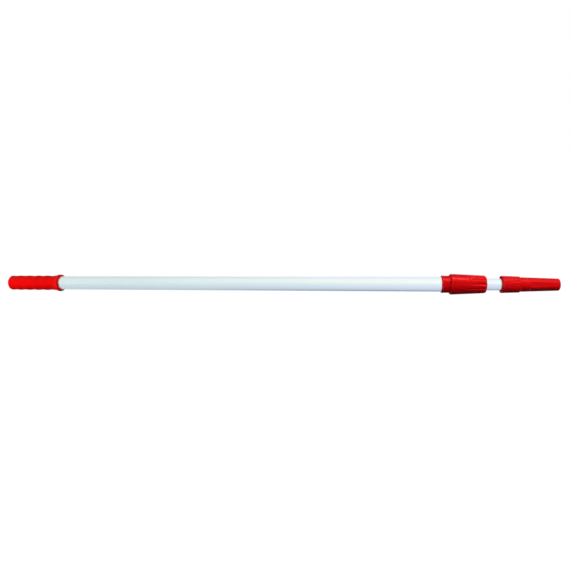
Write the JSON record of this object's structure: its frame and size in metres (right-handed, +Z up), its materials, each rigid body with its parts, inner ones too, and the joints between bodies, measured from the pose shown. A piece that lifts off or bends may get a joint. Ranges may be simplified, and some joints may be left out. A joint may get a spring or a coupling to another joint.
{
  "type": "telescopic window cleaning pole",
  "caption": "Telescopic aluminium pole with a red finger grip, a tapered twist lock and a stepped tool cone for window cleaning tools.",
  "frame": {"origin": "centre of the closed butt face of the grip, on the pole's axis", "axes": "+X along the pole towards the tool cone, +Z up, +Y completes the right-handed set; the lock body's rivet, the stop rivet and the cone screw are on the +Y side"},
  "size_m": [1.1015, 0.0386, 0.0386],
  "materials": {
    "grip_red": "soft moulded plastic with a fine matt skin",
    "lock_red": "satin injection moulded plastic",
    "cone_red": "satin injection moulded plastic with moulded ribs",
    "anodised_outer": "drawn tube, clear satin anodised",
    "anodised_inner": "drawn tube, clear satin anodised",
    "acetal_white": "natural moulded acetal",
    "nylon_grey": "moulded glass-filled nylon",
    "fastener_steel": "plain zinc plated"
  },
  "bodies": {
    "outer_section": {"grip": "grip_red", "butt_plug": "nylon_grey", "outer_tube": "anodised_outer", "lock_body": "lock_red", "lock_body_rivet": "fastener_steel", "mouth_bush": "acetal_white"},
    "collet_carriage": {"collet": "acetal_white"},
    "nut": {"lock_nut": "lock_red"},
    "glide": {"glide_ring": "acetal_white"},
    "inner_section": {"inner_plug": "nylon_grey", "stop_sleeve": "nylon_grey", "stop_rivet": "fastener_steel", "inner_tube": "anodised_inner", "tool_cone": "cone_red", "cone_screw": "fastener_steel"}
  },
  "joints": [
    {"name": "lock_advance", "type": "slide", "parent": "outer_section", "child": "collet_carriage", "axis": [1, 0, 0], "range_m": [0, 0.003]},
    {"name": "lock_twist", "type": "hinge", "parent": "collet_carriage", "child": "nut", "pos_m": [0.9455, 0, 0], "axis": [1, 0, 0], "range_deg": [0, 360]},
    {"name": "pole_slide", "type": "slide", "parent": "outer_section", "child": "glide", "axis": [1, 0, 0], "range_m": [-0.022, 0.8]},
    {"name": "pole_spin", "type": "hinge", "parent": "glide", "child": "inner_section", "pos_m": [0.5, 0, 0], "axis": [1, 0, 0], "continuous": true}
  ],
  "couplings": [
    {"joint": "lock_twist", "follows": "lock_advance", "rad_per_m": 2094.4}
  ]
}
